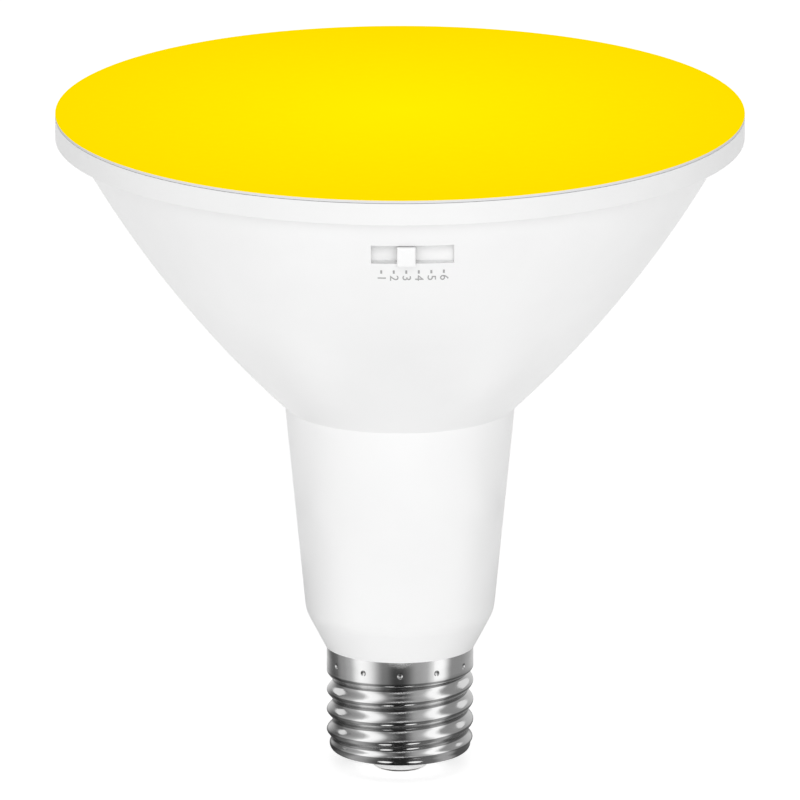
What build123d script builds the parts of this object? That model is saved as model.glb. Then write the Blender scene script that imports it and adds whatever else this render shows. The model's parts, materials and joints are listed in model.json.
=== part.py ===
from build123d import *
import os
from math import cos, hypot, pi, sin, sqrt

# A reflector lamp on a screw base, lit by light emitting diodes behind a flat front lens.
# A small square knob in its side slides along six places and picks the colour of the light.
# Millimetres. Height 0 is the tip of the centre contact, +Z points at the front lens, and
# the knob is on the -Y side. Every (radius, height) pair is an outline about the Z axis.

# Outline of the housing
lamp_height = 119.9
rim_radius = 61.0
rim_height = 4.5
rim_overhang = 3.1
cone_bulge = 2.4
crease_height = 66.6
crease_radius = 20.4
neck_foot_height = 29.0
neck_foot_radius = 16.7
neck_round = 6.0
foot_height = 22.5
foot_radius = 13.3

# Walls of the housing
cone_wall = 1.8
neck_wall = 2.0
spigot_wall = 1.5
rim_lip = 1.6

# Lens and gasket
lens_thickness = 2.0
lens_edge = 0.5
lens_crown = 0.6
lens_skirt_depth = 2.3
lens_skirt_wall = 1.2
gasket_thickness = 0.9
gasket_width = 2.0

# Screw shell: size 26 thread, rolled from thin sheet
thread_radius = 13.03
thread_depth = 1.05
thread_pitch = 3.629
shell_sheet = 0.35
collar_height = 3.9
dome_height = 1.8
dome_corner_height = 3.3
dome_lip_height = 2.6
dome_lip_radius = 7.9
dome_round = 1.15
first_crest_height = 5.02
sections_per_turn = 6

# Dents that crimp the shell's collar into a groove of the housing
crimp_count = 12
crimp_ball_radius = 0.7
crimp_depth = 0.21
crimp_drop = 2.5
crimp_rib = 0.3

# Insulator and centre contact
contact_thickness = 0.4
contact_radius = 4.35
contact_edge = 0.2
contact_stem_radius = 1.2
insulator_tip_radius = 4.7
insulator_bevel = 0.6
insulator_rim_height = 1.3

# Heat sink, light board and reflector
optic_depth = 17.9
plate_thickness = 1.5
sink_wall = 1.2
sink_foot_rise = 7.4
wire_hole_radius = 6.0
led_board_thickness = 1.2
board_screw_count = 3
board_screw_radius = 1.5
board_screw_head_radius = 2.8
board_screw_head = 1.8
board_screw_edge = 0.6
board_screw_slot = 0.6
board_screw_length = 5.0
reflector_gap = 1.4
reflector_wall = 0.8
reflector_straight = 10.0

# Light emitting diodes: rings of packages, the six colours in turn
led_colours = ["cool_white", "warm_white", "red", "green", "blue", "yellow"]
led_rings = 3
led_inner_ring_radius = 13.0
led_edge_margin = 7.4
led_length = 3.5
led_width = 2.8
led_height = 0.8
led_bevel = 0.25

# Selector switch and its window in the cone
switch_places = 6
place_pitch = 2.2
rest_place = 3
knob_rest = 1.1
knob_width = 3.3
knob_height = 3.5
knob_proud = 2.0
knob_round = 0.3
stem_socket_cap = 1.5
window_side_gap = 0.15
window_height = 3.85
window_centre_depth = 11.775
window_wall = 1.3
case_wall = 0.3
case_depth = 4.1
stem_width = 2.4
stem_height = 0.8
slider_width = 4.6
slider_thickness = 1.6
switch_base_thickness = 1.0
wiper_sheet = 0.2
pocket_gap = 0.2
pad_margin = 1.3
terminal_width = 0.9
terminal_sheet = 0.3
terminal_head = 0.2
terminal_reach = 0.4

# Switch board and the connector that joins it to the light board
switch_board_thickness = 1.0
switch_board_margin = 1.4
cheek_width = 1.6
cheek_grip = 0.6
cheek_lip = 0.8
header_pins = 7
header_pitch = 2.0
header_depth = 2.0
header_height = 2.0
header_pin = 0.5
header_inset = 0.2

# Driver board
driver_board_thickness = 1.6
driver_board_half_width = 13.4
driver_board_foot = 7.0
driver_board_headroom = 9.0
driver_board_bottom = 12.0
rib_grip = 1.2
rib_wall = 1.2
rib_top = 6.0
lead_radius = 0.3
lead_reach = 1.0
first_row_rise = 4.9
last_row_drop = 15.4

# Electronic parts on the driver board
input_capacitor_radius = 5.0
input_capacitor_length = 12.5
output_capacitor_radius = 4.0
output_capacitor_length = 11.5
capacitor_margin = 1.5
capacitor_groove_height = 2.0
capacitor_groove_depth = 0.4
inductor_radius = 5.0
inductor_length = 9.0
inductor_flange = 1.2
inductor_hub_radius = 2.2
film_capacitor_size = (10.0, 8.0, 4.0)
film_capacitor_round = 0.5
varistor_radius = 3.5
varistor_thickness = 3.2
varistor_edge = 1.1
rectifier_size = (4.7, 2.4, 3.9)
chip_size = (3.9, 1.4, 4.9)
gull_foot = 1.0
gull_sheet = 0.2
resistor_radius = 1.2
resistor_length = 6.5
resistor_edge = 0.5

# Wires, and where they run from and to
wire_radius = 0.7
thin_wire_radius = 0.5
led_wire_spread = 3.0
led_wire_landing = 9.6
led_wire_bend = 2.6
wire_tail = 8.0
line_wire_rise = 2.6
neutral_wire_rise = 3.0
groove_width = 2.0
groove_turns = 1.5

# Clearances
close_gap = 0.1
seat_gap = 0.3

# Sizes that follow from the ones above
rim_underside = lamp_height - rim_height
cone_top_radius = rim_radius - rim_overhang
cone_chord_out = cone_top_radius - crease_radius
cone_chord_up = rim_underside - crease_height
cone_chord = hypot(cone_chord_out, cone_chord_up)
cone_round = (cone_chord**2 / 4 + cone_bulge**2) / (2 * cone_bulge)
cone_centre_radius = ((cone_top_radius + crease_radius) / 2
                      - (cone_round - cone_bulge) * cone_chord_up / cone_chord)
cone_centre_height = ((rim_underside + crease_height) / 2
                      + (cone_round - cone_bulge) * cone_chord_out / cone_chord)


def cone_radius(height, inset=0):
    """Radius of the cone's outer surface at a height, or of a surface that lies deeper in it."""
    return cone_centre_radius + sqrt((cone_round - inset)**2 - (height - cone_centre_height)**2)


rim_top = lamp_height - lens_edge - close_gap
lens_step_radius = rim_radius - rim_lip - close_gap
lens_underside = lamp_height - lens_thickness
ledge_height = lens_underside - gasket_thickness
skirt_foot_height = lens_underside - lens_skirt_depth
skirt_radius = cone_radius(skirt_foot_height, cone_wall) - 2 * seat_gap
reflector_mouth_radius = skirt_radius - lens_skirt_wall - seat_gap
reflector_top = lens_underside - seat_gap

thread_mean_radius = thread_radius - thread_depth / 2
thread_start = dome_lip_height + dome_height
collar_start = foot_height - collar_height
shell_bore = thread_radius - thread_depth - shell_sheet
spigot_radius = shell_bore - close_gap
spigot_bore = spigot_radius - spigot_wall
insulator_top = thread_start + insulator_rim_height
spigot_foot = insulator_top + seat_gap
spigot_shoulder_radius = thread_radius - shell_sheet - close_gap
crimp_height = foot_height - crimp_drop
groove_half_height = crimp_ball_radius + close_gap
groove_floor_radius = spigot_shoulder_radius - crimp_depth - close_gap
groove_floor_half_height = crimp_ball_radius / 2
rib_height = crimp_height - groove_half_height - crimp_rib

plate_top = lamp_height - optic_depth
plate_bottom = plate_top - plate_thickness
led_board_top = plate_top + led_board_thickness
sink_foot_height = crease_height + sink_foot_rise

switch_height = lamp_height - window_centre_depth
knob_travel = (switch_places - 1) * place_pitch
window_centre = knob_rest - (rest_place - 1) * place_pitch + knob_travel / 2
window_width = knob_travel + knob_width + 2 * window_side_gap
case_width = knob_travel + slider_width + 2 * window_side_gap + 2 * case_wall
case_height = window_height + 2 * case_wall
case_corner = abs(window_centre) + case_width / 2
switch_face = sqrt(cone_radius(switch_height - case_height / 2)**2 - case_corner**2) - window_wall
case_back = switch_face - case_depth
knob_end = cone_radius(switch_height) + knob_proud
switch_base_front = case_back + switch_base_thickness
stem_line = switch_height + window_height / 2 - stem_height / 2 - window_side_gap
stem_end = knob_end - stem_socket_cap
common_line = switch_height - window_height / 2 + terminal_width / 2 + window_side_gap
slider_back = switch_face - case_wall - close_gap - slider_thickness
switch_board_back = case_back - switch_board_thickness
switch_board_width = case_width + 2 * switch_board_margin

reflector_radius = switch_board_back - terminal_reach - seat_gap - reflector_wall
led_board_radius = reflector_radius - reflector_gap
led_ring_step = (led_board_radius - led_edge_margin - led_inner_ring_radius) / (led_rings - 1)
led_ring_radii = [led_inner_ring_radius + ring * led_ring_step for ring in range(led_rings)]
board_screw_circle = led_ring_radii[1]
header_line = led_board_top + header_height / 2
header_corner = abs(window_centre) + header_pins * header_pitch / 2
header_front = sqrt(led_board_radius**2 - header_corner**2) - header_inset

inner_crease_height = crease_height + cone_wall / 2
inner_crease_radius = cone_radius(inner_crease_height, cone_wall)
inner_neck_radius = neck_foot_radius - neck_wall
board_face = driver_board_thickness / 2
board_shoulder = foot_height + driver_board_foot
board_top = plate_bottom - driver_board_headroom
tongue_half_width = sqrt(spigot_bore**2 - board_face**2) - close_gap


# Helpers

def turned(*outline):
    """A solid turned about the lamp's axis from (radius, height) corners."""
    corners = [(radius, 0, height) for radius, height in outline]
    return revolve(make_face(Polyline(*corners, close=True).edges()), Axis.Z)


def cone_line(low, high, inset):
    """The curved side of the cone between two heights, at a depth below its surface."""
    places = [low, (low + high) / 2, high]
    return ThreePointArc(*[(cone_radius(height, inset), 0, height) for height in places])


def forward(sketch, back, front):
    """A solid that runs towards the front from y = -back to y = -front; x and z are drawn."""
    return extrude(Plane.XZ.offset(back) * sketch, front - back)


def upward(sketch, low, high):
    """A solid that stands between two heights; x and y are drawn."""
    return extrude(Pos(0, 0, low) * sketch, high - low)


def group(pieces):
    """Separate solids that share one node."""
    return Compound(children=[solid for piece in pieces for solid in piece.solids()])


# Housing, lens and seals

def housing_body():
    """The housing as a full block: spigot, foot, neck, cone and rim."""
    base = Polyline(
        (0, 0, spigot_foot),
        (spigot_radius, 0, spigot_foot),
        (spigot_radius, 0, rib_height - spigot_shoulder_radius + spigot_radius),
        (spigot_shoulder_radius, 0, rib_height),
        (spigot_shoulder_radius, 0, crimp_height - groove_half_height),
        (groove_floor_radius, 0, crimp_height - groove_floor_half_height),
        (groove_floor_radius, 0, crimp_height + groove_floor_half_height),
        (spigot_shoulder_radius, 0, crimp_height + groove_half_height),
        (spigot_shoulder_radius, 0, foot_height),
        (foot_radius, 0, foot_height),
    )
    neck = FilletPolyline(
        (foot_radius, 0, foot_height),
        (neck_foot_radius, 0, neck_foot_height),
        (crease_radius, 0, crease_height),
        radius=neck_round,
    )
    cone = cone_line(crease_height, rim_underside, 0)
    rim = Polyline(
        (cone_top_radius, 0, rim_underside),
        (rim_radius, 0, rim_underside),
        (rim_radius, 0, rim_top),
        (0, 0, rim_top),
        (0, 0, spigot_foot),
    )
    return revolve(make_face(base.edges() + neck.edges() + cone.edges() + rim.edges()), Axis.Z)


def housing_hollow():
    """The space inside the housing, from the spigot's bore to the seat of the lens."""
    lens_seat = Polyline(
        (0, 0, rim_top),
        (rim_radius - rim_lip, 0, rim_top),
        (rim_radius - rim_lip, 0, ledge_height),
        (cone_radius(ledge_height, cone_wall), 0, ledge_height),
    )
    cone = cone_line(inner_crease_height, ledge_height, cone_wall)
    neck = Polyline(
        (inner_crease_radius, 0, inner_crease_height),
        (inner_neck_radius, 0, neck_foot_height),
        (spigot_bore, 0, foot_height),
        (spigot_bore, 0, spigot_foot),
        (0, 0, spigot_foot),
        (0, 0, rim_top),
    )
    return revolve(make_face(lens_seat.edges() + cone.edges() + neck.edges()), Axis.Z)


def board_rails():
    """Two upright rails inside the neck, one at each edge of the driver board."""
    rail_width = driver_board_thickness + 2 * close_gap + 2 * rib_wall
    rail_middle = driver_board_half_width - rib_grip + crease_radius / 2
    rail = Pos(rail_middle, 0) * Rectangle(crease_radius, rail_width)
    slot_width = driver_board_thickness + 2 * close_gap
    slot = Pos(driver_board_half_width, 0) * Rectangle(2 * (rib_grip + close_gap), slot_width)
    rail_top = crease_height - rib_top
    right = upward(rail, foot_height, rail_top) - upward(slot, board_shoulder, rail_top)
    return right + mirror(right, Plane.YZ)


def switch_seat():
    """The flat pad behind the window, with a cheek at each end that holds the switch board."""
    pad = Rectangle(case_width + 2 * pad_margin, case_height + 2 * pad_margin)
    seat = forward(Pos(window_centre, switch_height) * pad, switch_face + close_gap, rim_radius)
    cheek = Rectangle(cheek_width, case_height + 2 * pad_margin)
    slot = Rectangle(2 * cheek_grip, case_height + 2 * pad_margin)
    cheek_offset = switch_board_width / 2 - cheek_grip + cheek_width / 2
    slot_offset = switch_board_width / 2 - cheek_grip + close_gap
    for side in (-1, 1):
        cheek_place = Pos(window_centre + side * cheek_offset, switch_height)
        slot_place = Pos(window_centre + side * slot_offset, switch_height)
        seat += forward(cheek_place * cheek, switch_board_back - cheek_lip, rim_radius)
        seat -= forward(slot_place * slot, switch_board_back - close_gap, case_back + close_gap)
    return seat


def window_opening():
    """The slot in the cone that the knob slides in."""
    opening = Pos(window_centre, switch_height) * Rectangle(window_width, window_height)
    return forward(opening, case_back, rim_radius)


def wire_groove():
    """A notch in the foot of the spigot that lets the neutral wire out to the screw shell."""
    notch = Pos(spigot_radius, board_face + thin_wire_radius) * Rectangle(4 * spigot_wall, groove_width)
    return upward(notch, spigot_foot, first_crest_height + groove_turns * thread_pitch)


def housing():
    """White moulded shell: rim, cone, neck, and the spigot that the screw shell sits on."""
    pocket = Rectangle(case_width + 2 * pocket_gap, case_height + 2 * pocket_gap)
    hollow = housing_hollow() - board_rails() - switch_seat()
    hollow += forward(Pos(window_centre, switch_height) * pocket, case_back, switch_face + close_gap)
    return housing_body() - hollow - window_opening() - wire_groove()


def lens():
    """Slightly crowned front lens: a thin edge over the rim, and a locating skirt behind it."""
    crown = TangentArc(
        (0, 0, lamp_height + lens_crown),
        (rim_radius, 0, lamp_height),
        tangent=(1, 0, 0),
    )
    back = Polyline(
        (rim_radius, 0, lamp_height),
        (rim_radius, 0, lamp_height - lens_edge),
        (lens_step_radius, 0, lamp_height - lens_edge),
        (lens_step_radius, 0, lens_underside),
        (skirt_radius, 0, lens_underside),
        (skirt_radius, 0, skirt_foot_height),
        (skirt_radius - lens_skirt_wall, 0, skirt_foot_height),
        (skirt_radius - lens_skirt_wall, 0, lens_underside),
        (0, 0, lens_underside),
        (0, 0, lamp_height + lens_crown),
    )
    return revolve(make_face(crown.edges() + back.edges()), Axis.Z)


def lens_gasket():
    """Soft ring between the lens and the ledge inside the rim."""
    return turned(
        (lens_step_radius - gasket_width, ledge_height),
        (lens_step_radius, ledge_height),
        (lens_step_radius, lens_underside),
        (lens_step_radius - gasket_width, lens_underside),
    )


# Screw base

def smooth(height, low, high):
    """Rises gently from 0 at one height to 1 at another."""
    share = min(max((height - low) / (high - low), 0), 1)
    return share * share * (3 - 2 * share)


def thread_wall(inset):
    """Side of the rolled thread. Each section is a circle that leans towards the crest."""
    turns = (collar_start - thread_start) / thread_pitch
    steps = round(turns * sections_per_turn)
    sections = []
    for step in range(steps + 1):
        height = thread_start + (collar_start - thread_start) * step / steps
        below_collar = 1 - smooth(height, collar_start - thread_pitch / 3, collar_start)
        above_dome = smooth(height, thread_start, thread_start + thread_pitch / 3)
        radius = thread_radius - thread_depth / 2 * below_collar - inset
        lean = thread_depth / 2 * below_collar * above_dome
        angle = 2 * pi * (height - first_crest_height) / thread_pitch
        sections.append(Pos(lean * cos(angle), lean * sin(angle), height) * Circle(radius))
    side = loft(sections, ruled=True)
    return side.faces().filter_by(GeomType.PLANE, reverse=True)


def thread_tube():
    """The threaded stretch of the screw shell, a tube of thin sheet."""
    bottom = Circle(thread_mean_radius) - Circle(thread_mean_radius - shell_sheet)
    top = Circle(thread_radius) - Circle(thread_radius - shell_sheet)
    ends = [(Pos(0, 0, thread_start) * bottom).face(), (Pos(0, 0, collar_start) * top).face()]
    return Solid(Shell([*thread_wall(0), *thread_wall(shell_sheet), *ends]))


def dome(inset):
    """The rounded foot of the screw shell, or the space inside it, as a full block."""
    side_radius = thread_mean_radius - inset
    lip_height = dome_lip_height + inset
    outline = FilletPolyline(
        (side_radius, 0, thread_start),
        (side_radius, 0, dome_corner_height + inset),
        (dome_lip_radius - inset, 0, lip_height),
        radius=dome_round - inset,
    )
    closing = Polyline(
        (dome_lip_radius - inset, 0, lip_height),
        (0, 0, lip_height),
        (0, 0, thread_start),
        (side_radius, 0, thread_start),
    )
    return revolve(make_face(outline.edges() + closing.edges()), Axis.Z)


def dented_column(inset):
    """A column as high as the collar, with the ring of crimping dents pressed into its side."""
    column = upward(Circle(thread_radius - inset), collar_start, foot_height)
    ball_place = thread_radius - crimp_depth + crimp_ball_radius
    for step in range(crimp_count):
        turn = Rot(0, 0, 360 * step / crimp_count - 90)
        column -= turn * Pos(ball_place, 0, crimp_height) * Sphere(crimp_ball_radius + inset)
    return column


def screw_shell():
    """Nickel-plated screw shell: smooth crimped collar, rolled thread and rounded foot."""
    collar = dented_column(0) - dented_column(shell_sheet)
    lip_hole = upward(Circle(dome_lip_radius - shell_sheet), dome_lip_height, thread_start)
    foot = dome(0) - dome(shell_sheet) - lip_hole
    return collar + thread_tube() + foot


def base_insulator():
    """Glass-like insulator that closes the foot of the screw shell round the centre contact."""
    inset = shell_sheet + close_gap
    plug = turned(
        (0, contact_thickness),
        (insulator_tip_radius, contact_thickness),
        (dome_lip_radius - inset, dome_lip_height),
        (dome_lip_radius - inset, dome_lip_height + inset),
        (thread_mean_radius - inset - insulator_bevel, dome_corner_height + inset),
        (thread_mean_radius - inset, thread_start),
        (shell_bore - thread_depth / 2, thread_start),
        (shell_bore - thread_depth / 2, insulator_top),
        (0, insulator_top),
    )
    bore = upward(Circle(contact_stem_radius + close_gap), contact_thickness, insulator_top)
    return plug - bore


def centre_contact():
    """Eyelet at the tip of the base, with the stem that takes the line wire."""
    disc = upward(Circle(contact_radius), 0, contact_thickness)
    disc = chamfer(disc.edges().group_by(Axis.Z)[0], contact_edge)
    return disc + upward(Circle(contact_stem_radius), contact_thickness, insulator_top)


# Optics

def heat_sink():
    """Aluminium cup inside the cone: a plate for the light board and a tapered skirt."""
    outer = cone_wall + seat_gap
    inner = outer + sink_wall
    cup = turned(
        (0, plate_bottom),
        (cone_radius(plate_bottom, inner), plate_bottom),
        (cone_radius(sink_foot_height, inner), sink_foot_height),
        (cone_radius(sink_foot_height, outer), sink_foot_height),
        (cone_radius(plate_bottom, outer), plate_bottom),
        (cone_radius(plate_bottom, outer), plate_top),
        (0, plate_top),
    )
    cup -= upward(Circle(wire_hole_radius), plate_bottom, plate_top)
    screw_hole = upward(Circle(board_screw_radius + close_gap), plate_bottom, plate_top)
    return cup - board_screw_places(screw_hole)


def board_screw_places(piece):
    """A piece repeated at each screw of the light board, between two diodes of the middle ring."""
    copies = []
    for step in range(board_screw_count):
        turn = Rot(0, 0, 360 * step / board_screw_count + 90)
        copies.append(turn * Pos(board_screw_circle, 0, 0) * piece)
    return copies


def led_board():
    """Round light board with its centre hole and screw holes."""
    board = upward(Circle(led_board_radius) - Circle(wire_hole_radius), plate_top, led_board_top)
    screw_hole = upward(Circle(board_screw_radius + close_gap), plate_top, led_board_top)
    return board - board_screw_places(screw_hole)


def led_board_screws():
    """Pan-head screws through the light board and the heat sink."""
    shank = upward(Circle(board_screw_radius), led_board_top - board_screw_length, led_board_top)
    head = upward(Circle(board_screw_head_radius), led_board_top, led_board_top + board_screw_head)
    head = chamfer(head.edges().group_by(Axis.Z)[-1], board_screw_edge)
    slot_arm = Rectangle(board_screw_head_radius, board_screw_slot)
    cross = slot_arm + Rot(0, 0, 90) * slot_arm
    head_top = led_board_top + board_screw_head
    head -= upward(cross, head_top - board_screw_slot, head_top)
    return group(board_screw_places(shank + head))


def leds(colour):
    """All the diode packages of one colour."""
    lower = led_height - led_bevel
    package = upward(Rectangle(led_length, led_width), led_board_top, led_board_top + lower)
    crown = loft([
        Pos(0, 0, led_board_top + lower) * Rectangle(led_length, led_width),
        Pos(0, 0, led_board_top + led_height) * Rectangle(led_length - led_bevel, led_width - led_bevel),
    ])
    package += crown
    packages = []
    for ring, ring_radius in enumerate(led_ring_radii):
        places = (ring + 1) * len(led_colours)
        for place in range(places):
            if place % len(led_colours) == colour:
                turn = 360 * (place + 0.5) / places
                packages.append(Rot(0, 0, turn) * Pos(ring_radius, 0, 0) * package)
    return group(packages)


def reflector_ring():
    """White wall round the light board that flares out to the lens."""
    flare_foot = plate_top + reflector_straight
    ring = turned(
        (reflector_radius, plate_top),
        (reflector_radius + reflector_wall, plate_top),
        (reflector_radius + reflector_wall, flare_foot),
        (reflector_mouth_radius, reflector_top - reflector_wall),
        (reflector_mouth_radius, reflector_top),
        (reflector_radius, flare_foot + reflector_wall),
    )
    notch_width = header_pins * header_pitch + 2 * header_pitch
    notch_height = led_board_thickness + header_height + 2 * seat_gap
    notch = Pos(window_centre, plate_top + notch_height / 2) * Rectangle(notch_width, notch_height)
    return ring - forward(notch, header_front, switch_board_back)


# Colour switch

def switch_case():
    """Thin case of the switch, open at the back, with a slot that the slider's stem moves in."""
    centre = Pos(window_centre, switch_height)
    case = forward(centre * Rectangle(case_width, case_height), case_back, switch_face)
    room = Rectangle(case_width - 2 * case_wall, window_height)
    case -= forward(centre * room, case_back, switch_face - case_wall)
    slot_width = knob_travel + stem_width + 2 * window_side_gap
    slot = Pos(window_centre, stem_line) * Rectangle(slot_width, stem_height + 2 * close_gap)
    return case - forward(slot, case_back, switch_face)


def switch_slider():
    """Moulded slider: a block inside the case, and a flat stem that reaches out of its slot."""
    block_height = window_height - 2 * close_gap
    block_front = slider_back + slider_thickness
    block = Pos(knob_rest, switch_height) * Rectangle(slider_width, block_height)
    stem = Pos(knob_rest, stem_line) * Rectangle(stem_width, stem_height)
    return forward(block, slider_back, block_front) + forward(stem, block_front, stem_end)


def switch_knob():
    """Square knob pressed on the stem, with softly rounded front edges."""
    knob_back = switch_face + 2 * close_gap
    knob = forward(Pos(knob_rest, switch_height) * Rectangle(knob_width, knob_height), knob_back, knob_end)
    knob = fillet(knob.edges().group_by(Axis.Y)[0], knob_round)
    stem = Pos(knob_rest, stem_line) * Rectangle(stem_width, stem_height)
    return knob - forward(stem, knob_back, stem_end)


def switch_wiper():
    """Bent contact strip on the back of the slider, with two raised fingers."""
    reach = slider_back - switch_base_front - terminal_head - close_gap
    half = slider_width / 2 - window_side_gap
    strip = Polyline(
        (-half, slider_back),
        (half, slider_back),
        (half, slider_back - wiper_sheet),
        (half - reach, slider_back - reach),
        (half - 2 * reach, slider_back - wiper_sheet),
        (2 * reach - half, slider_back - wiper_sheet),
        (reach - half, slider_back - reach),
        (-half, slider_back - wiper_sheet),
        close=True,
    )
    outline = mirror(make_face(strip.edges()), Plane.XZ)
    wiper_top = switch_height + knob_height / 4
    return Pos(knob_rest, 0, 0) * upward(outline, common_line - terminal_sheet, wiper_top)


def terminal_places():
    """Middle of each switch terminal across the lamp: one to a place, and the common one."""
    first = window_centre - knob_travel / 2
    return [first + place * place_pitch for place in range(switch_places)]


def terminal_bars(back, front, gap=0):
    """The terminals between two depths, or with a gap the slots they go through."""
    bar = Rectangle(terminal_sheet + 2 * gap, terminal_width + 2 * gap)
    bars = [forward(Pos(place, switch_height) * bar, back, front) for place in terminal_places()]
    bars.append(forward(Pos(window_centre, common_line) * bar, back, front))
    return bars


def switch_base():
    """Insulating back of the switch that carries its terminals."""
    room = Rectangle(case_width - 2 * case_wall - 2 * close_gap, window_height - 2 * close_gap)
    plate = forward(Pos(window_centre, switch_height) * room, case_back, switch_base_front)
    return plate - terminal_bars(case_back, switch_base_front, close_gap / 2)


def switch_terminals():
    """One contact to a place, and a common rail under them, each with its pin."""
    pieces = []
    pins = terminal_bars(switch_board_back - terminal_reach, switch_base_front)
    pad = Rectangle(place_pitch / 2, knob_height / 2)
    head_front = switch_base_front + terminal_head
    for place, pin in zip(terminal_places(), pins):
        head = forward(Pos(place, switch_height) * pad, switch_base_front, head_front)
        pieces.append(pin + head)
    rail = Pos(window_centre, common_line) * Rectangle(knob_travel + place_pitch, terminal_sheet)
    pieces.append(pins[-1] + forward(rail, switch_base_front, head_front))
    return group(pieces)


def header_places():
    """Middle of each connector pin across the lamp."""
    first = window_centre - header_pitch * (header_pins - 1) / 2
    return [first + pin * header_pitch for pin in range(header_pins)]


def header_bars(back, front, gap=0):
    """The connector's pins between two depths, or with a gap the holes they go through."""
    bar = Rectangle(header_pin + 2 * gap, header_pin + 2 * gap)
    return [forward(Pos(x, header_line) * bar, back, front) for x in header_places()]


def switch_board():
    """Upright board behind the switch, held by its ends in the two cheeks."""
    low = header_line - header_height / 2
    high = switch_height + case_height / 2 + pad_margin
    outline = Pos(window_centre, (low + high) / 2) * Rectangle(switch_board_width, high - low)
    board = forward(outline, switch_board_back, case_back)
    board -= terminal_bars(switch_board_back, case_back, close_gap / 2)
    return board - header_bars(switch_board_back, case_back, close_gap / 2)


def switch_header():
    """Body of the right-angle connector that stands on the edge of the light board."""
    width = header_pins * header_pitch
    body = forward(Pos(window_centre, header_line) * Rectangle(width, header_height),
                   header_front - header_depth, header_front)
    return body - header_bars(header_front - header_depth, header_front, close_gap / 2)


def switch_header_pins():
    """Square pins from the light board through the connector into the switch board."""
    heel = header_front - header_depth - 2 * header_pin
    toe = heel - 2 * header_pin
    pins = []
    for x, shaft in zip(header_places(), header_bars(heel, case_back)):
        leg_height = header_line - header_pin / 2 - led_board_top
        leg = Pos(x, led_board_top + leg_height / 2) * Rectangle(header_pin, leg_height)
        foot = Pos(x, led_board_top + header_pin / 4) * Rectangle(header_pin, header_pin / 2)
        pins.append(shaft + forward(leg, heel, heel + header_pin) + forward(foot, toe, heel))
    return group(pins)


# Driver

def leads(x, height, spacing, body_gap=0):
    """Two thin six-sided leads through the driver board, from the parts' side at the front."""
    back = -board_face - lead_reach
    places = [Pos(x - spacing / 2, height), Pos(x + spacing / 2, height)]
    section = RegularPolygon(lead_radius, 6)
    return [forward(place * section, back, board_face + body_gap) for place in places]


def lead_holes(x, height, spacing):
    """The holes that a pair of leads goes through."""
    places = [Pos(x - spacing / 2, height), Pos(x + spacing / 2, height)]
    hole = RegularPolygon(lead_radius + close_gap / 2, 6)
    return [forward(place * hole, -board_face, board_face) for place in places]


# Rows of parts up the board, each part at a place across it, with a distance between its leads
first_row = board_shoulder + first_row_rise
last_row = board_top - last_row_drop
middle_row = (first_row + last_row) / 2
varistor_place = (-5.0, first_row, 5.0)
film_capacitor_place = (5.5, first_row, 7.5)
input_capacitor_place = (0.0, middle_row, 5.0)
inductor_place = (0.0, last_row, 5.0)
output_capacitor_place = (-6.0, board_top - output_capacitor_radius - capacitor_margin, 3.5)
standing_parts = [varistor_place, film_capacitor_place, input_capacitor_place, inductor_place,
                  output_capacitor_place]
rectifier_height = (first_row + middle_row) / 2
chip_height = (middle_row + last_row) / 2
resistor_height = driver_board_bottom + resistor_length


def driver_board():
    """Long board down the middle of the neck, with a tongue that reaches into the screw base."""
    outline = Polyline(
        (-tongue_half_width, driver_board_bottom),
        (tongue_half_width, driver_board_bottom),
        (tongue_half_width, board_shoulder),
        (driver_board_half_width, board_shoulder),
        (driver_board_half_width, board_top),
        (-driver_board_half_width, board_top),
        (-driver_board_half_width, board_shoulder),
        (-tongue_half_width, board_shoulder),
        close=True,
    )
    board = forward(make_face(outline.edges()), -board_face, board_face)
    for x, height, spacing in standing_parts:
        board -= lead_holes(x, height, spacing)
    return board


def can_capacitor(place, radius, length):
    """Round can that stands on the board, with a rolled groove near its foot."""
    x, height, spacing = place
    outline = Polyline(
        (0, 0),
        (radius, 0),
        (radius, capacitor_groove_height - capacitor_groove_depth),
        (radius - capacitor_groove_depth, capacitor_groove_height),
        (radius, capacitor_groove_height + capacitor_groove_depth),
        (radius, length - capacitor_groove_depth),
        (radius - capacitor_groove_depth, length),
        (0, length),
        close=True,
    )
    can = revolve(make_face(outline.edges()), Axis.Y)
    return Pos(x, -board_face, height) * Rot(180, 0, 0) * can + leads(x, height, spacing)


def inductor_core():
    """Drum core that stands on the board, with its two leads."""
    x, height, spacing = inductor_place
    foot = board_face
    top = foot + inductor_length
    place = Pos(x, height)
    core = forward(place * Circle(inductor_radius), foot, foot + inductor_flange)
    core += forward(place * Circle(inductor_hub_radius), foot, top)
    core += forward(place * Circle(inductor_radius), top - inductor_flange, top)
    return core + leads(x, height, spacing)


def inductor_winding():
    """Copper winding round the hub of the drum core."""
    x, height, _ = inductor_place
    coil = Circle(inductor_radius - inductor_flange / 2) - Circle(inductor_hub_radius)
    foot = board_face + inductor_flange
    return forward(Pos(x, height) * coil, foot, foot + inductor_length - 2 * inductor_flange)


def film_capacitor():
    """Moulded box capacitor across the mains input."""
    x, height, spacing = film_capacitor_place
    width, depth, thickness = film_capacitor_size
    outline = Pos(x, height) * RectangleRounded(width, thickness, film_capacitor_round)
    return forward(outline, board_face, board_face + depth) + leads(x, height, spacing)


def varistor():
    """Lens-shaped disc that absorbs surges, on two leads."""
    x, height, spacing = varistor_place
    middle = board_face + varistor_radius + seat_gap
    outline = Pos(x, -middle) * Circle(varistor_radius)
    disc = upward(outline, height - varistor_thickness / 2, height + varistor_thickness / 2)
    return chamfer(disc.edges(), varistor_edge) + leads(x, height, spacing, varistor_radius / 2)


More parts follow.
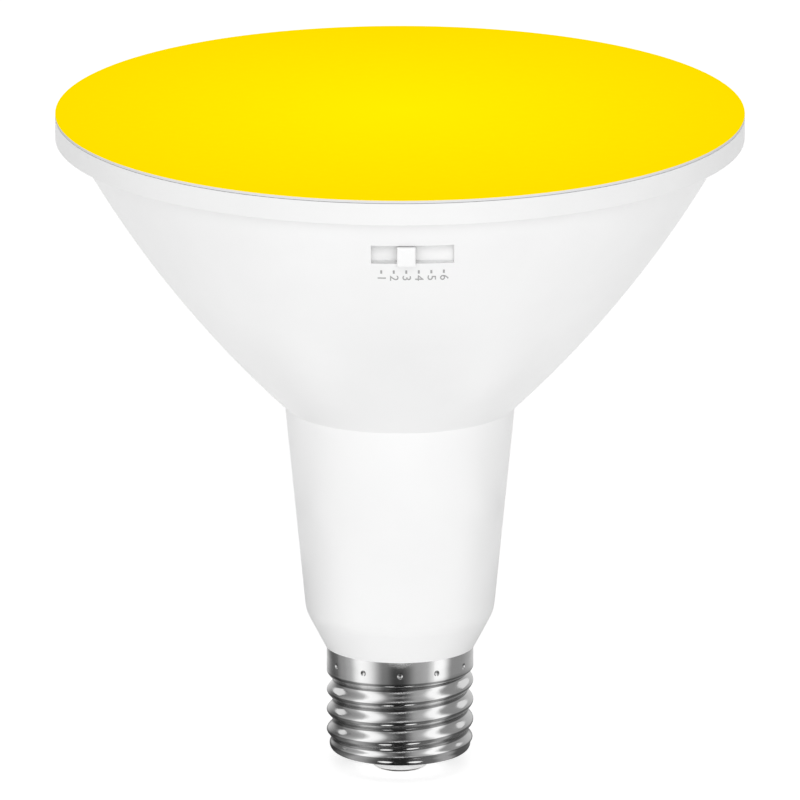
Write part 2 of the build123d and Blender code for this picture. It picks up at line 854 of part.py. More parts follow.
def gull_leads(size, height, pairs):
    """Flat bent leads at both sides of a part on the back of the board."""
    width, _, length = size
    step = length / pairs
    pieces = []
    for pair in range(pairs):
        place = height - length / 2 + step * (pair + 0.5)
        for side in (-1, 1):
            foot = Pos(side * (width / 2 + gull_foot / 2), place) * Rectangle(gull_foot, step / 3)
            pieces.append(forward(foot, -board_face - gull_sheet, -board_face))
            leg = Pos(side * (width / 2 + gull_sheet / 2), place) * Rectangle(gull_sheet, step / 3)
            pieces.append(forward(leg, -board_face - 3 * gull_sheet, -board_face))
    return pieces


def surface_part(size, height, pairs):
    """Flat moulded part on the back of the driver board, with bevelled sides."""
    width, depth, length = size
    body = forward(Pos(0, height) * Rectangle(width, length), -board_face - depth, -board_face)
    body = chamfer(body.edges().group_by(Axis.Y)[-1], depth / 4)
    return body + gull_leads(size, height, pairs)


def fusible_resistor():
    """Small resistor along the tongue that also serves as the fuse."""
    outline = Pos(0, -board_face - resistor_radius) * Circle(resistor_radius)
    body = upward(outline, resistor_height - resistor_length / 2, resistor_height + resistor_length / 2)
    return chamfer(body.edges(), resistor_edge)


# Wires

def wire(points, radius, bend):
    """An insulated wire along straight runs joined by round bends."""
    path = FilletPolyline(*points, radius=bend)
    start = Plane(origin=points[0], z_dir=Vector(*points[1]) - Vector(*points[0]))
    return sweep(start * Circle(radius), path=path)


def line_wire():
    """From the tongue of the driver board down to the stem of the centre contact."""
    y = board_face + wire_radius
    points = [
        (0, y, driver_board_bottom + wire_tail),
        (0, y, driver_board_bottom - wire_radius),
        (0, 0, insulator_top + line_wire_rise),
        (0, 0, insulator_top),
    ]
    return wire(points, wire_radius, 3 * wire_radius)


def neutral_wire():
    """From the tongue of the driver board out through the notch to the screw shell."""
    y = board_face + thin_wire_radius
    crest = first_crest_height + thread_pitch
    points = [
        (tongue_half_width / 2, y, driver_board_bottom + wire_tail),
        (tongue_half_width / 2, y, crest + neutral_wire_rise),
        (spigot_bore - spigot_wall, y, crest),
        (thread_mean_radius - shell_sheet + close_gap, y, crest),
    ]
    return wire(points, thin_wire_radius, 3 * thin_wire_radius)


def led_wire(side):
    """From the top of the driver board through the centre hole, to lie on the light board."""
    y = board_face + wire_radius
    near = side * led_wire_spread
    high = led_board_top + wire_radius
    points = [
        (near, y, board_top - wire_tail),
        (near, y, high),
        (side * led_wire_landing, y, high),
    ]
    return wire(points, wire_radius, led_wire_bend)


def all_nodes():
    """Every sub-part of the lamp, by name."""
    nodes = {
        "housing": housing(),
        "lens": lens(),
        "lens_gasket": lens_gasket(),
        "reflector_ring": reflector_ring(),
        "led_board": led_board(),
        "led_board_screws": led_board_screws(),
        "heat_sink": heat_sink(),
        "screw_shell": screw_shell(),
        "base_insulator": base_insulator(),
        "centre_contact": centre_contact(),
        "switch_case": switch_case(),
        "switch_base": switch_base(),
        "switch_terminals": switch_terminals(),
        "switch_slider": switch_slider(),
        "switch_wiper": switch_wiper(),
        "switch_knob": switch_knob(),
        "switch_board": switch_board(),
        "switch_header": switch_header(),
        "switch_header_pins": switch_header_pins(),
        "driver_board": driver_board(),
        "input_capacitor": can_capacitor(input_capacitor_place, input_capacitor_radius,
                                         input_capacitor_length),
        "output_capacitor": can_capacitor(output_capacitor_place, output_capacitor_radius,
                                          output_capacitor_length),
        "inductor_core": inductor_core(),
        "inductor_winding": inductor_winding(),
        "film_capacitor": film_capacitor(),
        "varistor": varistor(),
        "bridge_rectifier": surface_part(rectifier_size, rectifier_height, 2),
        "driver_chip": surface_part(chip_size, chip_height, 4),
        "fusible_resistor": fusible_resistor(),
        "line_wire": line_wire(),
        "neutral_wire": neutral_wire(),
        "led_wire_positive": led_wire(1),
        "led_wire_negative": led_wire(-1),
    }
    for index, colour in enumerate(led_colours):
        nodes["leds_" + colour] = leds(index)
    return nodes


os.makedirs("parts", exist_ok=True)
for name, shape in all_nodes().items():
    export_step(shape, f"parts/{name}.step")
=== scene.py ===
import json
from math import atan2, cos, hypot, pi, radians, sin, sqrt

import bmesh
import bpy
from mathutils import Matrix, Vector


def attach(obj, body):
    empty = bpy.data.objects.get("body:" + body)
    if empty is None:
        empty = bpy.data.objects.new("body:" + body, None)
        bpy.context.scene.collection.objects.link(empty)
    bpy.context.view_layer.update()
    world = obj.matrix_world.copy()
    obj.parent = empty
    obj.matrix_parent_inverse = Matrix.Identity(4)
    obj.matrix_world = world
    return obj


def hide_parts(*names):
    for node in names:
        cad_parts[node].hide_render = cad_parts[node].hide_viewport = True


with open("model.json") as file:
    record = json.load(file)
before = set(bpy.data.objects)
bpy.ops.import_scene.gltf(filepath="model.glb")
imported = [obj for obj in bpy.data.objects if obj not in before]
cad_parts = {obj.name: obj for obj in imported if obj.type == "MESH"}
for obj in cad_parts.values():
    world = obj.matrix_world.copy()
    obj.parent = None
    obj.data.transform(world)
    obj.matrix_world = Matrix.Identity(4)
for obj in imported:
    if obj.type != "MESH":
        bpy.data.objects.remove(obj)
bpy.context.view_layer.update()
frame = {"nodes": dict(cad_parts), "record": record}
nodes = frame["nodes"]

MM = 0.001

# Sizes of the lamp that the looks need, in metres, in the same frame as the solids
LAMP_HEIGHT = 119.9 * MM
RIM_RADIUS = 61.0 * MM
RIM_HEIGHT = 4.5 * MM
RIM_OVERHANG = 3.1 * MM
CONE_BULGE = 2.4 * MM
CREASE_HEIGHT = 66.6 * MM
CREASE_RADIUS = 20.4 * MM
LENS_FACE_DROP = 0.06 * MM

# Screw shell
FOOT_HEIGHT = 22.5 * MM
THREAD_RADIUS = 13.03 * MM
THREAD_DEPTH = 1.05 * MM
THREAD_PITCH = 3.629 * MM
FIRST_CREST = 5.02 * MM
THREAD_START = 4.4 * MM
COLLAR_START = 18.6 * MM
SHELL_SHEET = 0.35 * MM
DOME_CORNER = 3.3 * MM
DOME_LIP_HEIGHT = 2.6 * MM
DOME_LIP_RADIUS = 7.9 * MM
DOME_ROUND = 1.15 * MM
CRIMP_COUNT = 12
CRIMP_BALL = 0.7 * MM
CRIMP_DEPTH = 0.21 * MM
CRIMP_DROP = 2.5 * MM
COLLAR_EDGE = 0.1 * MM

# Fineness of the shell's mesh, which is closer at the dents
ROWS_PER_TURN = 20
DOME_STEPS = 8
DENT_REACH = 0.6 * MM
DENT_STEPS = 6
STEPS_BETWEEN_DENTS = 6

# Printed scale: a tick and a numeral to each place of the knob
PLACE_COUNT = 6
PLACE_PITCH = 2.2 * MM
FIRST_PLACE = -3.3 * MM
TICK_TOP = 104.75 * MM
TICK_WIDTH = 0.34 * MM
TICK_LENGTH = 0.7 * MM
NUMERAL_TOP = 103.7 * MM
NUMERAL_SIZE = 2.15 * MM
NUMERAL_STRETCH = 1.4
PRINT_LIFT = 0.03 * MM

# Studio: an even world, a pale floor and one broad light from the front. Levels are light strengths;
# seen levels are what the camera and mirrors meet
WORLD_LEVEL = 0.435
WORLD_SEEN = 1.0
FLOOR_LEVEL = 0.4
FLOOR_SEEN = 0.62
FLOOR_RADIUS = 4
KEY_LEVEL = 1.3
KEY_ELEVATION = radians(19)
KEY_SPREAD = radians(30)

# Ring round the base that shows only as a reflection. Each pair is an angle in degrees from the
# front, positive to the right, and a level: a dark front, a soft box and a grey card at each side,
# and a pale wall behind. Its front has a roof, and its rear is low and open
RING_RADIUS = 48 * MM
RING_HEIGHT = 46 * MM
RING_ROOF_EDGE = 24 * MM
RING_REAR_START = 8 * MM
RING_REAR_HEIGHT = 26 * MM
RING_LIFT = 0.02 * MM
RING_SEGMENTS = 96
RING_FOOT = 0.45
RING_BRIGHTEST = 1.45
RING_FADE_START = 0.5 * MM
RING_FADE_END = 8 * MM
RING_LEVELS = [
    (-160, 0.6), (-114, 0.1), (-104, 0.12), (-91, 0.27), (-89, 0.27), (-76, 0.38), (-57, 1.0),
    (-48, 0.95), (-22, 0.18), (-6, 0.04), (4, 0.05), (26, 0.34), (36, 0.4), (52, 1.0), (60, 1.0),
    (78, 0.25), (92, 0.25), (150, 0.5),
]

# Two small lights under the base, that glint in the shell's rounded foot
GLINT_SIDE = 4.6 * MM
GLINT_FRONT = 15.5 * MM
GLINT_RADIUS = 2.2 * MM
GLINT_LIFT = 0.04 * MM
GLINT_LEVEL = 1.4

# Camera, from the photograph
PHOTO_WIDTH = 141.8 * MM
CAMERA_ELEVATION = radians(15.15)
CAMERA_AIM_HEIGHT = 67.22 * MM
CAMERA_LENS = 1600
CAMERA_SENSOR = 36

# The side of the cone is an arc, worked out from its two ends and its bulge
rim_underside = LAMP_HEIGHT - RIM_HEIGHT
cone_top_radius = RIM_RADIUS - RIM_OVERHANG
chord_out = cone_top_radius - CREASE_RADIUS
chord_up = rim_underside - CREASE_HEIGHT
chord = hypot(chord_out, chord_up)
cone_round = (chord**2 / 4 + CONE_BULGE**2) / (2 * CONE_BULGE)
cone_centre_radius = ((cone_top_radius + CREASE_RADIUS) / 2
                      - (cone_round - CONE_BULGE) * chord_up / chord)
cone_centre_height = ((rim_underside + CREASE_HEIGHT) / 2
                      + (cone_round - CONE_BULGE) * chord_out / chord)


def cone_radius(height):
    """Radius of the cone's outer surface at a height."""
    return cone_centre_radius + sqrt(cone_round**2 - (height - cone_centre_height)**2)


# Materials

class Shader:
    """A material under construction: its node tree with short ways to add and link nodes."""

    def __init__(self, name):
        self.material = bpy.data.materials.new(name)
        self.material.use_nodes = True
        self.tree = self.material.node_tree
        self.surface = self.tree.nodes["Principled BSDF"]
        self.place = self.add("ShaderNodeTexCoord").outputs["Object"]

    def add(self, kind, **settings):
        node = self.tree.nodes.new(kind)
        for key, value in settings.items():
            setattr(node, key, value)
        return node

    def link(self, output, socket):
        self.tree.links.new(output, socket)

    def noise(self, scale, detail=3.0, stretch=(1, 1, 1)):
        """Noise of a scale in features per metre, stretched along the axes."""
        mapping = self.add("ShaderNodeMapping")
        mapping.inputs["Scale"].default_value = stretch
        self.link(self.place, mapping.inputs["Vector"])
        noise = self.add("ShaderNodeTexNoise")
        noise.inputs["Scale"].default_value = scale
        noise.inputs["Detail"].default_value = detail
        self.link(mapping.outputs["Vector"], noise.inputs["Vector"])
        return noise.outputs["Fac"]

    def ramp(self, value, from_low, from_high, to_low=0.0, to_high=1.0):
        """Maps one range of values onto another."""
        ramp = self.add("ShaderNodeMapRange")
        ramp.inputs["From Min"].default_value = from_low
        ramp.inputs["From Max"].default_value = from_high
        ramp.inputs["To Min"].default_value = to_low
        ramp.inputs["To Max"].default_value = to_high
        self.link(value, ramp.inputs["Value"])
        return ramp.outputs["Result"]

    def span(self, value, low, high):
        """Maps the middle range of a noise onto low to high."""
        return self.ramp(value, 0.3, 0.7, low, high)

    def mix(self, value, first, second):
        """A colour between two, by a texture. Each colour is a triple or the output of a node."""
        mix = self.add("ShaderNodeMix", data_type="RGBA")
        self.link(value, mix.inputs["Factor"])
        for socket, colour in ((mix.inputs["A"], first), (mix.inputs["B"], second)):
            if isinstance(colour, tuple):
                socket.default_value = (*colour, 1)
            else:
                self.link(colour, socket)
        return mix.outputs["Result"]

    def bump(self, value, depth, strength=1.0):
        """Relief of a depth in metres."""
        bump = self.add("ShaderNodeBump")
        bump.inputs["Strength"].default_value = strength
        bump.inputs["Distance"].default_value = depth
        self.link(value, bump.inputs["Height"])
        self.link(bump.outputs["Normal"], self.surface.inputs["Normal"])

    def set(self, **sockets):
        """Plain values on the shader's own sockets."""
        for key, value in sockets.items():
            socket = key.replace("_", " ").title().replace("Ior", "IOR")
            self.surface.inputs[socket].default_value = value


def tint(colour, factor):
    """The same colour, lighter or darker."""
    return tuple(min(channel * factor, 1) for channel in colour)


def plastic(name, colour, roughness, grain=1800, depth=0.004 * MM):
    """Moulded plastic: slightly uneven in colour and gloss, with a fine spark-eroded grain."""
    shader = Shader(name)
    drift = shader.span(shader.noise(60), 0, 1)
    shader.link(shader.mix(drift, tint(colour, 0.985), tint(colour, 1.01)),
                shader.surface.inputs["Base Color"])
    shader.link(shader.span(shader.noise(400), roughness * 0.92, roughness * 1.08),
                shader.surface.inputs["Roughness"])
    shader.bump(shader.noise(grain, 2), depth)
    return shader.material


def metal(name, colour, roughness, stretch=(1, 1, 1), grain=900, depth=0.002 * MM):
    """Plated or bare metal with faint marks from rolling or pressing."""
    shader = Shader(name)
    drift = shader.span(shader.noise(150), 0, 1)
    shader.link(shader.mix(drift, tint(colour, 0.95), tint(colour, 1.03)),
                shader.surface.inputs["Base Color"])
    shader.link(shader.span(shader.noise(500, stretch=stretch), roughness * 0.8, roughness * 1.2),
                shader.surface.inputs["Roughness"])
    shader.bump(shader.noise(grain, 3, stretch), depth)
    shader.set(metallic=1.0)
    return shader.material


def lit_lens():
    """Diffusing lens, lit yellow from behind and brighter in the middle; its thin edge has painted shade,
    pale grey and unlit.
    """
    shader = Shader("lens_yellow")
    middle = shader.add("ShaderNodeTexGradient", gradient_type="SPHERICAL")
    mapping = shader.add("ShaderNodeMapping")
    mapping.inputs["Scale"].default_value = (1 / RIM_RADIUS, 1 / RIM_RADIUS, 0)
    shader.link(shader.place, mapping.inputs["Vector"])
    shader.link(mapping.outputs["Vector"], middle.inputs["Vector"])
    glow = shader.mix(middle.outputs["Fac"], (1.0, 0.74, 0.0), (1.0, 0.9, 0.0))
    grain = shader.span(shader.noise(700), 0, 1)
    skin = shader.mix(grain, (0.5, 0.375, 0.0), (0.52, 0.39, 0.0))
    parts = shader.add("ShaderNodeSeparateXYZ")
    shader.link(shader.place, parts.inputs["Vector"])
    # Below the top face the thin edge gets painted shade: pale grey with no glow, a shade line under the
    # yellow face
    face = shader.ramp(parts.outputs["Z"], LAMP_HEIGHT - LENS_FACE_DROP, LAMP_HEIGHT - LENS_FACE_DROP / 3)
    shader.link(shader.mix(face, (0.78, 0.78, 0.79), skin), shader.surface.inputs["Base Color"])
    shader.link(shader.mix(face, (0.0, 0.0, 0.0), glow), shader.surface.inputs["Emission Color"])
    shader.set(emission_strength=0.72, roughness=0.6, specular_ior_level=0.0)
    shader.bump(shader.noise(1500, 2), 0.002 * MM)
    return shader.material


def printed_ink():
    """Grey pad print on the housing, a little uneven."""
    shader = Shader("scale_ink")
    wear = shader.span(shader.noise(2500), 0, 1)
    shader.link(shader.mix(wear, (0.34, 0.34, 0.34), (0.42, 0.42, 0.42)),
                shader.surface.inputs["Base Color"])
    shader.set(roughness=0.6)
    return shader.material


def circuit_board(name, colour, copper):
    """Coated board with faint tracks that show through the coat."""
    shader = Shader(name)
    tracks = shader.add("ShaderNodeTexVoronoi", feature="DISTANCE_TO_EDGE")
    tracks.inputs["Scale"].default_value = 260
    shader.link(shader.place, tracks.inputs["Vector"])
    edge = shader.ramp(tracks.outputs["Distance"], 0.0, 0.08)
    shader.link(shader.mix(edge, copper, colour), shader.surface.inputs["Base Color"])
    shader.set(roughness=0.35)
    shader.bump(edge, 0.02 * MM, 0.4)
    return shader.material


def winding():
    """Fine enamelled wire, wound in turns round the core."""
    shader = Shader("copper_wire")
    turns = shader.add("ShaderNodeTexWave", bands_direction="Y")
    turns.inputs["Scale"].default_value = 500
    turns.inputs["Distortion"].default_value = 0.3
    shader.link(shader.place, turns.inputs["Vector"])
    shader.link(shader.mix(turns.outputs["Fac"], (0.35, 0.09, 0.03), (0.85, 0.36, 0.16)),
                shader.surface.inputs["Base Color"])
    shader.set(metallic=1.0, roughness=0.35)
    shader.bump(turns.outputs["Fac"], 0.05 * MM)
    return shader.material


def make_materials():
    """One material for each slot of the record, by slot name."""
    made = {
        "housing_white": plastic("housing_white", (0.9, 0.9, 0.9), 0.42),
        "lens_yellow": lit_lens(),
        "silicone": plastic("silicone", (0.8, 0.8, 0.78), 0.5),
        "reflector_white": plastic("reflector_white", (0.92, 0.92, 0.92), 0.2),
        "light_board": circuit_board("light_board", (0.86, 0.86, 0.84), (0.78, 0.79, 0.76)),
        "screw_steel": metal("screw_steel", (0.6, 0.6, 0.58), 0.3),
        "sink_aluminium": metal("sink_aluminium", (0.78, 0.78, 0.79), 0.4),
        "nickel_shell": metal("nickel_shell", (0.67, 0.67, 0.67), 0.14, (1, 1, 4)),
        "base_glass": plastic("base_glass", (0.95, 0.95, 0.95), 0.3),
        "contact_brass": metal("contact_brass", (0.66, 0.65, 0.63), 0.3),
        "switch_grey": plastic("switch_grey", (0.95, 0.95, 0.95), 0.45),
        "switch_base_plastic": plastic("switch_base_plastic", (0.2, 0.15, 0.1), 0.5),
        "terminal_brass": metal("terminal_brass", (0.85, 0.7, 0.42), 0.25),
        "board_green": circuit_board("board_green", (0.02, 0.16, 0.06), (0.05, 0.26, 0.09)),
        "header_black": plastic("header_black", (0.02, 0.02, 0.02), 0.45),
        "can_sleeve": plastic("can_sleeve", (0.03, 0.04, 0.1), 0.25),
        "ferrite": plastic("ferrite", (0.06, 0.06, 0.065), 0.6),
        "copper_wire": winding(),
        "film_box": plastic("film_box", (0.75, 0.52, 0.04), 0.35),
        "varistor_blue": plastic("varistor_blue", (0.04, 0.13, 0.5), 0.3),
        "chip_black": plastic("chip_black", (0.03, 0.03, 0.03), 0.5),
        "resistor_green": plastic("resistor_green", (0.2, 0.35, 0.15), 0.3),
        "wire_black": plastic("wire_black", (0.02, 0.02, 0.02), 0.45),
        "wire_white": plastic("wire_white", (0.8, 0.8, 0.78), 0.45),
        "wire_red": plastic("wire_red", (0.5, 0.02, 0.015), 0.45),
        "knob_white": plastic("knob_white", (0.91, 0.91, 0.91), 0.35),
    }
    diodes = {
        "led_cool_white": (0.8, 0.8, 0.45),
        "led_warm_white": (0.85, 0.6, 0.25),
        "led_red": (0.8, 0.1, 0.05),
        "led_green": (0.1, 0.6, 0.15),
        "led_blue": (0.08, 0.15, 0.8),
        "led_yellow": (0.95, 0.7, 0.05),
    }
    for name, colour in diodes.items():
        made[name] = plastic(name, colour, 0.25)
    return made


def dress_nodes():
    """Gives every solid the material of its slot."""
    for part in frame["record"]["subparts"]:
        node = nodes[part["node"]]
        node.data.materials.clear()
        node.data.materials.append(materials[part["material_slot"]])


# Pieces

def new_piece(name, mesh, material):
    """A piece of the lamp made from a mesh, that moves with the lamp's own body."""
    mesh.materials.append(material)
    piece = bpy.data.objects.new(name, mesh)
    bpy.context.scene.collection.objects.link(piece)
    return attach(piece, "lamp")


def smooth(value, low, high):
    """Rises gently from 0 to 1 between two values."""
    share = min(max((value - low) / (high - low), 0), 1)
    return share * share * (3 - 2 * share)


def dome_outline():
    """(radius, height) points of the shell's foot, from its lip round the corner to the thread."""
    side = THREAD_RADIUS - THREAD_DEPTH / 2
    slope = atan2(DOME_CORNER - DOME_LIP_HEIGHT, side - DOME_LIP_RADIUS)
    bend = pi / 2 - slope
    centre_radius = side - DOME_ROUND
    reach = DOME_ROUND * sin(bend / 2) / cos(bend / 2)
    centre_height = DOME_CORNER + reach
    points = [(DOME_LIP_RADIUS, DOME_LIP_HEIGHT)]
    for step in range(DOME_STEPS + 1):
        angle = -pi / 2 + slope + bend * step / DOME_STEPS
        points.append((centre_radius + DOME_ROUND * cos(angle), centre_height + DOME_ROUND * sin(angle)))
    return points


def around_shell():
    """Angles round the shell, closer together at each crimping dent."""
    dent = DENT_REACH / THREAD_RADIUS
    gap = 2 * pi / CRIMP_COUNT - 2 * dent
    angles = []
    for crimp in range(CRIMP_COUNT):
        middle = 2 * pi * crimp / CRIMP_COUNT - pi / 2
        for step in range(-DENT_STEPS, DENT_STEPS + 1):
            angles.append(middle + dent * step / DENT_STEPS)
        for step in range(1, STEPS_BETWEEN_DENTS):
            angles.append(middle + dent + gap * step / STEPS_BETWEEN_DENTS)
    return angles


def shell_rows():
    """(centre lean, radius, height) of each ring of the shell, from its lip up to its collar."""
    rows = [(0, radius, height) for radius, height in dome_outline()]
    fade = THREAD_PITCH / 3
    steps = round((COLLAR_START - THREAD_START) / THREAD_PITCH * ROWS_PER_TURN)
    for step in range(steps):
        height = THREAD_START + (COLLAR_START - THREAD_START) * step / steps
        below_collar = 1 - smooth(height, COLLAR_START - fade, COLLAR_START)
        above_dome = smooth(height, THREAD_START, THREAD_START + fade)
        radius = THREAD_RADIUS - THREAD_DEPTH / 2 * below_collar
        rows.append((THREAD_DEPTH / 2 * below_collar * above_dome, radius, height))
    rows.append((0, THREAD_RADIUS, COLLAR_START))
    dent_height = FOOT_HEIGHT - CRIMP_DROP
    for step in range(-DENT_STEPS - 1, DENT_STEPS + 1):
        rows.append((0, THREAD_RADIUS, dent_height + DENT_REACH * step / DENT_STEPS))
    rows.append((0, THREAD_RADIUS, FOOT_HEIGHT - COLLAR_EDGE))
    rows.append((0, THREAD_RADIUS - COLLAR_EDGE / 2, FOOT_HEIGHT))
    return rows


def dent_depth(angle, height):
    """How far a crimping dent presses the collar in at a place."""
    turn = 2 * pi / CRIMP_COUNT
    off = (angle + pi / 2 + turn / 2) % turn - turn / 2
    away = hypot(off * THREAD_RADIUS, height - FOOT_HEIGHT + CRIMP_DROP)
    if away >= CRIMP_BALL:
        return 0
    return max(sqrt(CRIMP_BALL**2 - away**2) - CRIMP_BALL + CRIMP_DEPTH, 0)


def rolled_shell():
    """The screw shell with a smoothly rolled thread, made of the same circles as the solid."""
    build = bmesh.new()
    angles = around_shell()
    rings = []
    for lean, radius, height in shell_rows():
        crest = 2 * pi * (height - FIRST_CREST) / THREAD_PITCH
        ring = []
        for angle in angles:
            out = radius - dent_depth(angle, height)
            x = lean * cos(crest) + out * cos(angle)
            y = lean * sin(crest) + out * sin(angle)
            ring.append(build.verts.new((x, y, height)))
        rings.append(ring)
    for low, high in zip(rings, rings[1:]):
        for here in range(len(angles)):
            build.faces.new((low[here - 1], low[here], high[here], high[here - 1]))
    for face in build.faces:
        face.smooth = True
    mesh = bpy.data.meshes.new("rolled_shell")
    build.to_mesh(mesh)
    build.free()
    shell = new_piece("rolled_shell", mesh, materials["nickel_shell"])
    sheet = shell.modifiers.new("sheet", "SOLIDIFY")
    sheet.thickness = SHELL_SHEET
    sheet.offset = -1
    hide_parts("screw_shell")


def on_cone(across, height, lift):
    """A point on the front of the cone, at a distance across and a height."""
    radius = cone_radius(height) + lift
    return Vector((across, -sqrt(radius**2 - across**2), height))


def print_on_cone(name, flat, ink):
    """A thin print on the cone from a flat mesh drawn as (across, height) in x and y."""
    build = bmesh.new()
    build.from_mesh(flat)
    for vert in build.verts:
        vert.co = on_cone(vert.co.x, vert.co.y, PRINT_LIFT)
    bmesh.ops.recalc_face_normals(build, faces=build.faces)
    if sum(face.normal.y for face in build.faces) > 0:
        bmesh.ops.reverse_faces(build, faces=build.faces)
    mesh = bpy.data.meshes.new(name)
    build.to_mesh(mesh)
    build.free()
    piece = new_piece(name, mesh, ink)
    coat = piece.modifiers.new("coat", "SOLIDIFY")
    coat.thickness = PRINT_LIFT
    coat.offset = -1


def tick(middle):
    """Flat mesh of a short upright stroke."""
    mesh = bpy.data.meshes.new("tick")
    half = TICK_WIDTH / 2
    low = TICK_TOP - TICK_LENGTH
    corners = [
        (middle - half, low, 0),
        (middle + half, low, 0),
        (middle + half, TICK_TOP, 0),
        (middle - half, TICK_TOP, 0),
    ]
    mesh.from_pydata(corners, [], [(0, 1, 2, 3)])
    return mesh


def numeral(text, middle):
    """Flat mesh of a numeral turned a quarter clockwise, its foot towards the left."""
    curve = bpy.data.curves.new("numeral", "FONT")
    curve.body = text
    curve.size = NUMERAL_SIZE
    curve.align_y = "CENTER"
    holder = bpy.data.objects.new("numeral", curve)
    bpy.context.scene.collection.objects.link(holder)
    bpy.context.view_layer.update()
    mesh = bpy.data.meshes.new_from_object(holder.evaluated_get(bpy.context.evaluated_depsgraph_get()))
    bpy.data.objects.remove(holder)
    slant = (cone_radius(NUMERAL_TOP) - cone_radius(NUMERAL_TOP - MM)) / MM
    for vert in mesh.vertices:
        across, along = vert.co.y, vert.co.x
        vert.co = (middle + across, NUMERAL_TOP - NUMERAL_STRETCH * along / hypot(1, slant), 0)
    return mesh


def printed_scale():
    """Ticks and numerals under the switch."""
    ink = printed_ink()
    for place in range(PLACE_COUNT):
        middle = FIRST_PLACE + place * PLACE_PITCH
        print_on_cone(f"scale_tick_{place + 1}", tick(middle), ink)
        print_on_cone(f"scale_numeral_{place + 1}", numeral(str(place + 1), middle), ink)


# Stage

def stage_object(name, mesh):
    """A thing of the studio, not of the lamp."""
    thing = bpy.data.objects.new(name, mesh)
    bpy.context.scene.collection.objects.link(thing)
    return thing


def white_to_view(tree, socket, low, high):
    """Sets a strength that is high for what the camera and mirrors see, and low as a light."""
    path = tree.nodes.new("ShaderNodeLightPath")
    seen = tree.nodes.new("ShaderNodeMath")
    seen.operation = "MAXIMUM"
    tree.links.new(path.outputs["Is Camera Ray"], seen.inputs[0])
    tree.links.new(path.outputs["Is Glossy Ray"], seen.inputs[1])
    strength = tree.nodes.new("ShaderNodeMapRange")
    strength.inputs["To Min"].default_value = low
    strength.inputs["To Max"].default_value = high
    tree.links.new(seen.outputs[0], strength.inputs["Value"])
    tree.links.new(strength.outputs["Result"], socket)


def floor():
    """White floor that keeps the lamp's shadow."""
    build = bmesh.new()
    bmesh.ops.create_circle(build, cap_ends=True, segments=64, radius=FLOOR_RADIUS)
    mesh = bpy.data.meshes.new("floor")
    build.to_mesh(mesh)
    build.free()
    material = bpy.data.materials.new("floor_white")
    material.use_nodes = True
    surface = material.node_tree.nodes["Principled BSDF"]
    surface.inputs["Base Color"].default_value = (0.8, 0.8, 0.8, 1)
    surface.inputs["Roughness"].default_value = 0.9
    surface.inputs["Specular IOR Level"].default_value = 0.0
    surface.inputs["Emission Color"].default_value = (1, 1, 1, 1)
    white_to_view(material.node_tree, surface.inputs["Emission Strength"], FLOOR_LEVEL, FLOOR_SEEN)
    mesh.materials.append(material)
    stage_object("floor", mesh)


def studio_world():
    """Even soft light from all round, white to the camera."""
    world = bpy.data.worlds.new("studio")
    world.use_nodes = True
    bpy.context.scene.world = world
    background = world.node_tree.nodes["Background"]
    background.inputs["Color"].default_value = (1, 1, 1, 1)
    white_to_view(world.node_tree, background.inputs["Strength"], WORLD_LEVEL, WORLD_SEEN)


def only_in_metal(name, mesh, shader):
    """Stage piece that lights nothing and shows only as a reflection."""
    shader.set(base_color=(0, 0, 0, 1), specular_ior_level=0.0)
    shader.material.cycles.emission_sampling = "NONE"
    mesh.materials.append(shader.material)
    piece = stage_object(name, mesh)
    piece.visible_camera = False
    piece.visible_diffuse = False
    piece.visible_transmission = False
    piece.visible_shadow = False


def surround_mesh():
    """A ring with a floor, roofed at the front and low at the rear."""
    build = bmesh.new()
    bmesh.ops.create_cone(build, cap_ends=True, segments=RING_SEGMENTS, radius1=RING_RADIUS,
                          radius2=RING_RADIUS, depth=RING_HEIGHT)
    bmesh.ops.translate(build, verts=build.verts, vec=(0, 0, RING_HEIGHT / 2 + RING_LIFT))
    lid = max(build.faces, key=lambda face: face.calc_center_median().z)
    bmesh.ops.inset_region(build, faces=[lid], thickness=RING_RADIUS - RING_ROOF_EDGE)
    open_above = [lid]
    for face in build.faces:
        middle = face.calc_center_median()
        if middle.y > RING_REAR_START and middle.z > RING_HEIGHT:
            open_above.append(face)
    bmesh.ops.delete(build, geom=open_above, context="FACES")
    for vert in build.verts:
        if vert.co.y > RING_REAR_START:
            vert.co.z = min(vert.co.z, RING_REAR_HEIGHT)
    mesh = bpy.data.meshes.new("metal_surround")
    build.to_mesh(mesh)
    build.free()
    return mesh


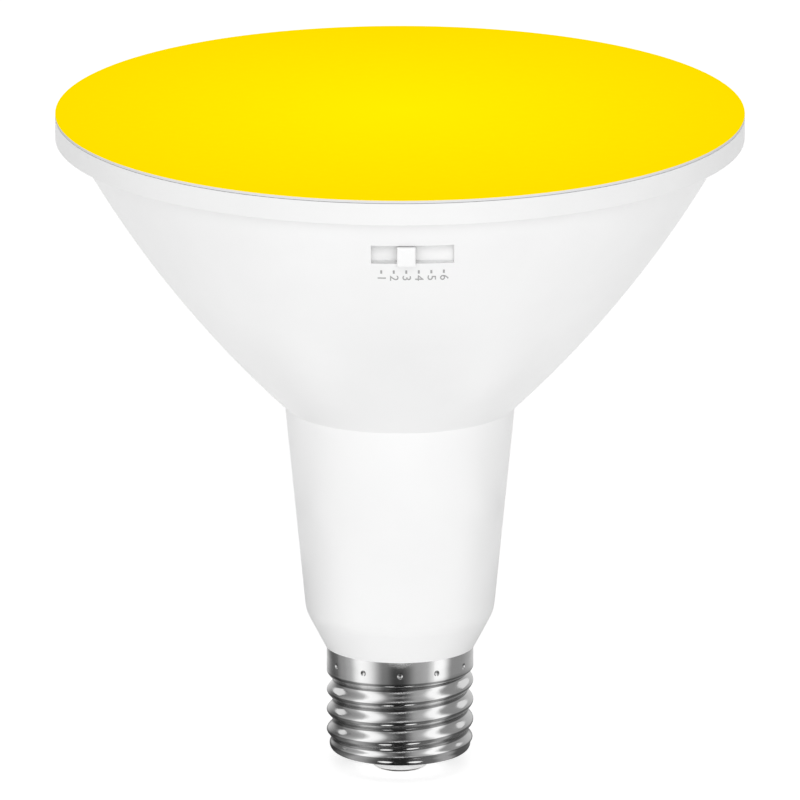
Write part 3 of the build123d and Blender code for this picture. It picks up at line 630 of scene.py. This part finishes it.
def metal_surround():
    """The ring round the base, light and dark in turn."""
    shader = Shader("metal_surround")
    turn = shader.add("ShaderNodeTexGradient", gradient_type="RADIAL")
    shader.link(shader.place, turn.inputs["Vector"])
    levels = shader.add("ShaderNodeValToRGB")
    levels.color_ramp.interpolation = "EASE"
    stops = sorted(((0.25 + azimuth / 360) % 1, level) for azimuth, level in RING_LEVELS)
    while len(levels.color_ramp.elements) < len(stops):
        levels.color_ramp.elements.new(1)
    for element, (position, level) in zip(levels.color_ramp.elements, stops):
        element.position = position
        element.color = (level, level, level, 1)
    shader.link(turn.outputs["Fac"], levels.inputs["Fac"])
    shader.link(levels.outputs["Color"], shader.surface.inputs["Emission Color"])
    parts = shader.add("ShaderNodeSeparateXYZ")
    shader.link(shader.place, parts.inputs["Vector"])
    strength = shader.ramp(parts.outputs["Z"], RING_FADE_START, RING_FADE_END, RING_FOOT, RING_BRIGHTEST)
    shader.link(strength, shader.surface.inputs["Emission Strength"])
    only_in_metal("metal_surround", surround_mesh(), shader)


def glint(name, side):
    """A small round light under the front of the base."""
    build = bmesh.new()
    bmesh.ops.create_circle(build, cap_ends=True, segments=32, radius=GLINT_RADIUS)
    bmesh.ops.translate(build, verts=build.verts, vec=(side * GLINT_SIDE, -GLINT_FRONT, GLINT_LIFT))
    mesh = bpy.data.meshes.new(name)
    build.to_mesh(mesh)
    build.free()
    shader = Shader(name)
    shader.set(emission_color=(1, 1, 1, 1), emission_strength=GLINT_LEVEL)
    only_in_metal(name, mesh, shader)


def key_light():
    """A broad light from the front, a little above."""
    lamp = bpy.data.lights.new("key", "SUN")
    lamp.energy = KEY_LEVEL
    lamp.angle = KEY_SPREAD
    holder = bpy.data.objects.new("key", lamp)
    towards = Vector((0, -cos(KEY_ELEVATION), sin(KEY_ELEVATION)))
    holder.rotation_mode = "QUATERNION"
    holder.rotation_quaternion = towards.to_track_quat("Z", "Y")
    bpy.context.scene.collection.objects.link(holder)


def camera():
    """The photograph's long view from a little above, square to the switch."""
    data = bpy.data.cameras.new("camera")
    data.lens = CAMERA_LENS
    data.sensor_width = CAMERA_SENSOR
    distance = PHOTO_WIDTH * CAMERA_LENS / CAMERA_SENSOR
    data.clip_end = 4 * distance
    holder = bpy.data.objects.new("camera", data)
    back = Vector((0, -cos(CAMERA_ELEVATION), sin(CAMERA_ELEVATION)))
    holder.location = Vector((0, 0, CAMERA_AIM_HEIGHT)) + distance * back
    holder.rotation_mode = "QUATERNION"
    holder.rotation_quaternion = back.to_track_quat("Z", "Y")
    bpy.context.scene.collection.objects.link(holder)
    bpy.context.scene.camera = holder


bpy.context.scene.view_settings.view_transform = "Standard"
materials = make_materials()
dress_nodes()
rolled_shell()
printed_scale()
floor()
studio_world()
metal_surround()
glint("glint_left", -1)
glint("glint_right", 1)
key_light()
camera()
